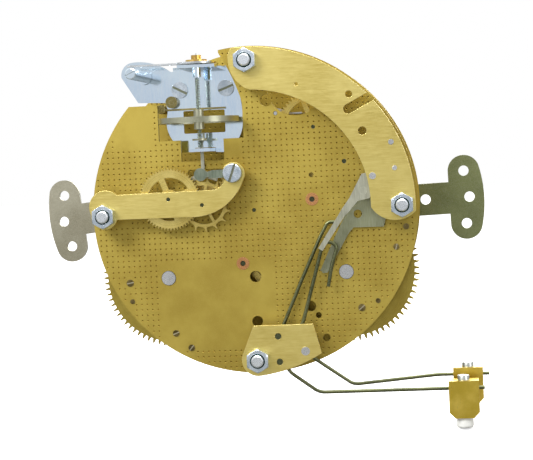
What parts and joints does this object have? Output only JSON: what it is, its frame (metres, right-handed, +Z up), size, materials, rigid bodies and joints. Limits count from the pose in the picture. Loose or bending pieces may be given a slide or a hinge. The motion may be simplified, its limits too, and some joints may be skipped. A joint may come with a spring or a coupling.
{
  "type": "striking clock movement",
  "caption": "Round-plate spring-driven striking clock movement with floating balance, seen-through trains, hammers on bent wires and side mounting ears.",
  "frame": {"origin": "on the hand arbor, in the middle of the minute hand's seat", "axes": "+Y towards the dial along the hand arbor, +Z up towards twelve o'clock, +X to the right as seen from behind"},
  "size_m": [0.1521, 0.0659, 0.1274],
  "materials": {
    "plate_brass": "matt grained brass",
    "bridge_brass": "fine brushed brass",
    "wheel_brass": "turned and cut brass",
    "drum_brass": "turned brass",
    "pillar_brass": "turned brass",
    "zinc": "zinc plated steel",
    "nickel": "nickel plate",
    "copper_bush": "bronze",
    "lever_steel": "oiled sheet steel",
    "ear_steel": "passivated sheet steel",
    "arbor_steel": "turned steel",
    "spring_steel": "blued spring steel",
    "balance_metal": "pale nickel alloy",
    "hammer_wire": "dark drawn wire",
    "hammer_brass": "turned brass",
    "tip_plastic": "white moulded plastic"
  },
  "bodies": {
    "root": {"back_plate": "plate_brass", "front_plate": "plate_brass", "pillars": "pillar_brass", "bridge_spacers": "pillar_brass", "pillar_nuts": "zinc", "arbor_bushes": "copper_bush", "plate_screws": "zinc", "mounting_ear_left": "ear_steel", "mounting_ear_right": "ear_steel", "escapement_bridge": "bridge_brass", "lever_cock": "bridge_brass", "bridge_screw": "zinc", "strike_bridge": "bridge_brass", "hammer_bracket": "bridge_brass", "bridge_rivets": "arbor_steel", "balance_bracket": "nickel", "balance_frame": "nickel", "bracket_screws": "zinc", "bracket_posts": "arbor_steel", "suspension_wire": "spring_steel", "click_springs": "spring_steel"},
    "regulator": {"regulator_lever": "nickel"},
    "rating": {"rating_screw": "nickel"},
    "balance": {"balance_wheel": "balance_metal", "balance_hairspring": "spring_steel", "balance_roller": "balance_metal"},
    "lever": {"pallet_lever": "lever_steel"},
    "escape": {"escape_wheel": "wheel_brass"},
    "third": {"third_wheel": "wheel_brass"},
    "intermediate": {"intermediate_wheel": "wheel_brass"},
    "centre": {"centre_wheel": "wheel_brass", "cannon_pinion": "arbor_steel"},
    "second": {"second_wheel": "wheel_brass"},
    "time_barrel": {"time_great_wheel": "wheel_brass", "time_barrel_drum": "drum_brass", "time_mainspring": "spring_steel"},
    "time_winder": {"time_winding_arbor": "arbor_steel", "time_ratchet_wheel": "spring_steel"},
    "time_click_body": {"time_click": "spring_steel"},
    "strike_barrel": {"strike_great_wheel": "wheel_brass", "strike_barrel_drum": "drum_brass", "strike_mainspring": "spring_steel"},
    "strike_winder": {"strike_winding_arbor": "arbor_steel", "strike_ratchet_wheel": "spring_steel"},
    "strike_click_body": {"strike_click": "spring_steel"},
    "strike_second": {"strike_second_wheel": "wheel_brass"},
    "strike_third": {"strike_third_wheel": "wheel_brass"},
    "warning": {"warning_wheel": "wheel_brass"},
    "fly_body": {"fly": "arbor_steel"},
    "minute": {"minute_wheel": "wheel_brass"},
    "hour": {"hour_wheel": "wheel_brass"},
    "rack": {"strike_rack": "lever_steel"},
    "rear_hammer": {"rear_hammer_wire": "hammer_wire", "rear_hammer_head": "hammer_brass", "rear_hammer_tip": "tip_plastic"},
    "front_hammer": {"front_hammer_wire": "hammer_wire", "front_hammer_head": "hammer_brass", "front_hammer_tip": "tip_plastic"},
    "front_trip": {"front_trip_lever": "lever_steel"},
    "rear_trip": {"rear_trip_lever": "lever_steel"}
  },
  "joints": [
    {"name": "centre_spin", "type": "hinge", "parent": "root", "child": "centre", "pos_m": [0, -0.042, 0], "axis": [0, 1, 0], "continuous": true},
    {"name": "second_spin", "type": "hinge", "parent": "root", "child": "second", "pos_m": [-0.0045, -0.042, -0.0175], "axis": [0, 1, 0], "continuous": true},
    {"name": "time_barrel_spin", "type": "hinge", "parent": "root", "child": "time_barrel", "pos_m": [-0.0296, -0.042, -0.0215], "axis": [0, 1, 0], "continuous": true},
    {"name": "intermediate_spin", "type": "hinge", "parent": "root", "child": "intermediate", "pos_m": [-0.017, -0.042, -0.0001], "axis": [0, 1, 0], "continuous": true},
    {"name": "third_spin", "type": "hinge", "parent": "root", "child": "third", "pos_m": [-0.0274, -0.042, 0.0048], "axis": [0, 1, 0], "continuous": true},
    {"name": "escape_spin", "type": "hinge", "parent": "root", "child": "escape", "pos_m": [-0.0163, -0.042, 0.0025], "axis": [0, 1, 0], "continuous": true},
    {"name": "minute_spin", "type": "hinge", "parent": "root", "child": "minute", "pos_m": [0, -0.042, -0.012], "axis": [0, 1, 0], "continuous": true},
    {"name": "hour_spin", "type": "hinge", "parent": "root", "child": "hour", "pos_m": [0, -0.042, 0], "axis": [0, 1, 0], "continuous": true},
    {"name": "strike_second_spin", "type": "hinge", "parent": "root", "child": "strike_second", "pos_m": [0.0193, -0.042, 0.0028], "axis": [0, 1, 0], "continuous": true},
    {"name": "strike_barrel_spin", "type": "hinge", "parent": "root", "child": "strike_barrel", "pos_m": [0.0296, -0.042, -0.0215], "axis": [0, 1, 0], "continuous": true},
    {"name": "strike_third_spin", "type": "hinge", "parent": "root", "child": "strike_third", "pos_m": [0.0304, -0.042, 0.0148], "axis": [0, 1, 0], "continuous": true},
    {"name": "warning_spin", "type": "hinge", "parent": "root", "child": "warning", "pos_m": [0.0207, -0.042, 0.0265], "axis": [0, 1, 0], "continuous": true},
    {"name": "fly_spin", "type": "hinge", "parent": "root", "child": "fly_body", "pos_m": [0.00845, -0.042, 0.0315], "axis": [0, 1, 0], "continuous": true},
    {"name": "time_winding", "type": "hinge", "parent": "root", "child": "time_winder", "pos_m": [-0.0296, -0.042, -0.0215], "axis": [0, 1, 0], "continuous": true},
    {"name": "strike_winding", "type": "hinge", "parent": "root", "child": "strike_winder", "pos_m": [0.0296, -0.042, -0.0215], "axis": [0, 1, 0], "continuous": true},
    {"name": "time_click_lift", "type": "hinge", "parent": "root", "child": "time_click_body", "pos_m": [-0.0352, -0.042, -0.0118], "axis": [0, 1, 0], "range_deg": [0, 12]},
    {"name": "strike_click_lift", "type": "hinge", "parent": "root", "child": "strike_click_body", "pos_m": [0.0352, -0.042, -0.0118], "axis": [0, -1, 0], "range_deg": [0, 12]},
    {"name": "balance_swing", "type": "hinge", "parent": "root", "child": "balance", "pos_m": [-0.0164, -0.0457, 0.0304], "axis": [0, 0, 1], "range_deg": [-135, 135], "stiffness_Nm_per_rad": 0.000004},
    {"name": "lever_rock", "type": "hinge", "parent": "root", "child": "lever", "pos_m": [-0.0163, -0.042, 0.0125], "axis": [0, 1, 0], "range_deg": [-3.5, 3.5]},
    {"name": "rating_turn", "type": "hinge", "parent": "root", "child": "rating", "pos_m": [-0.0362, -0.042, 0.046], "axis": [0, 1, 0], "range_deg": [-720, 720]},
    {"name": "regulator_swing", "type": "hinge", "parent": "root", "child": "regulator", "pos_m": [-0.0164, -0.0457, 0.049], "axis": [0, 0, 1], "range_deg": [-6, 6]},
    {"name": "rack_fall", "type": "hinge", "parent": "root", "child": "rack", "pos_m": [0.022, -0.042, 0.011], "axis": [0, -1, 0], "range_deg": [0, 2]},
    {"name": "rear_hammer_lift", "type": "hinge", "parent": "root", "child": "rear_hammer", "pos_m": [0.0068, -0.042, -0.0414], "axis": [0, -1, 0], "range_deg": [0, 10]},
    {"name": "front_hammer_lift", "type": "hinge", "parent": "root", "child": "front_hammer", "pos_m": [0.007, -0.042, -0.0498], "axis": [0, -1, 0], "range_deg": [0, 10]},
    {"name": "front_trip_rock", "type": "hinge", "parent": "root", "child": "front_trip", "pos_m": [0.0398, -0.042, 0.0097], "axis": [0, 1, 0], "range_deg": [0, 12]},
    {"name": "rear_trip_rock", "type": "hinge", "parent": "root", "child": "rear_trip", "pos_m": [0.0398, -0.042, 0.0097], "axis": [0, 1, 0], "range_deg": [0, 12]}
  ],
  "couplings": [
    {"joint": "centre_spin", "follows": "intermediate_spin", "ratio": -0.125},
    {"joint": "second_spin", "follows": "intermediate_spin", "ratio": 0.025},
    {"joint": "time_barrel_spin", "follows": "intermediate_spin", "ratio": -0.0026316},
    {"joint": "third_spin", "follows": "intermediate_spin", "ratio": -5},
    {"joint": "escape_spin", "follows": "intermediate_spin", "ratio": 37.5},
    {"joint": "minute_spin", "follows": "intermediate_spin", "ratio": 0.041667},
    {"joint": "hour_spin", "follows": "intermediate_spin", "ratio": -0.010417},
    {"joint": "strike_second_spin", "follows": "strike_third_spin", "ratio": -0.125},
    {"joint": "strike_barrel_spin", "follows": "strike_third_spin", "ratio": 0.017857},
    {"joint": "warning_spin", "follows": "strike_third_spin", "ratio": -7.5},
    {"joint": "fly_spin", "follows": "strike_third_spin", "ratio": 52.5},
    {"joint": "regulator_swing", "follows": "rating_turn", "ratio": 0.0083333},
    {"joint": "front_trip_rock", "follows": "rear_hammer_lift", "ratio": 1.2},
    {"joint": "rear_trip_rock", "follows": "front_hammer_lift", "ratio": 1.2}
  ]
}
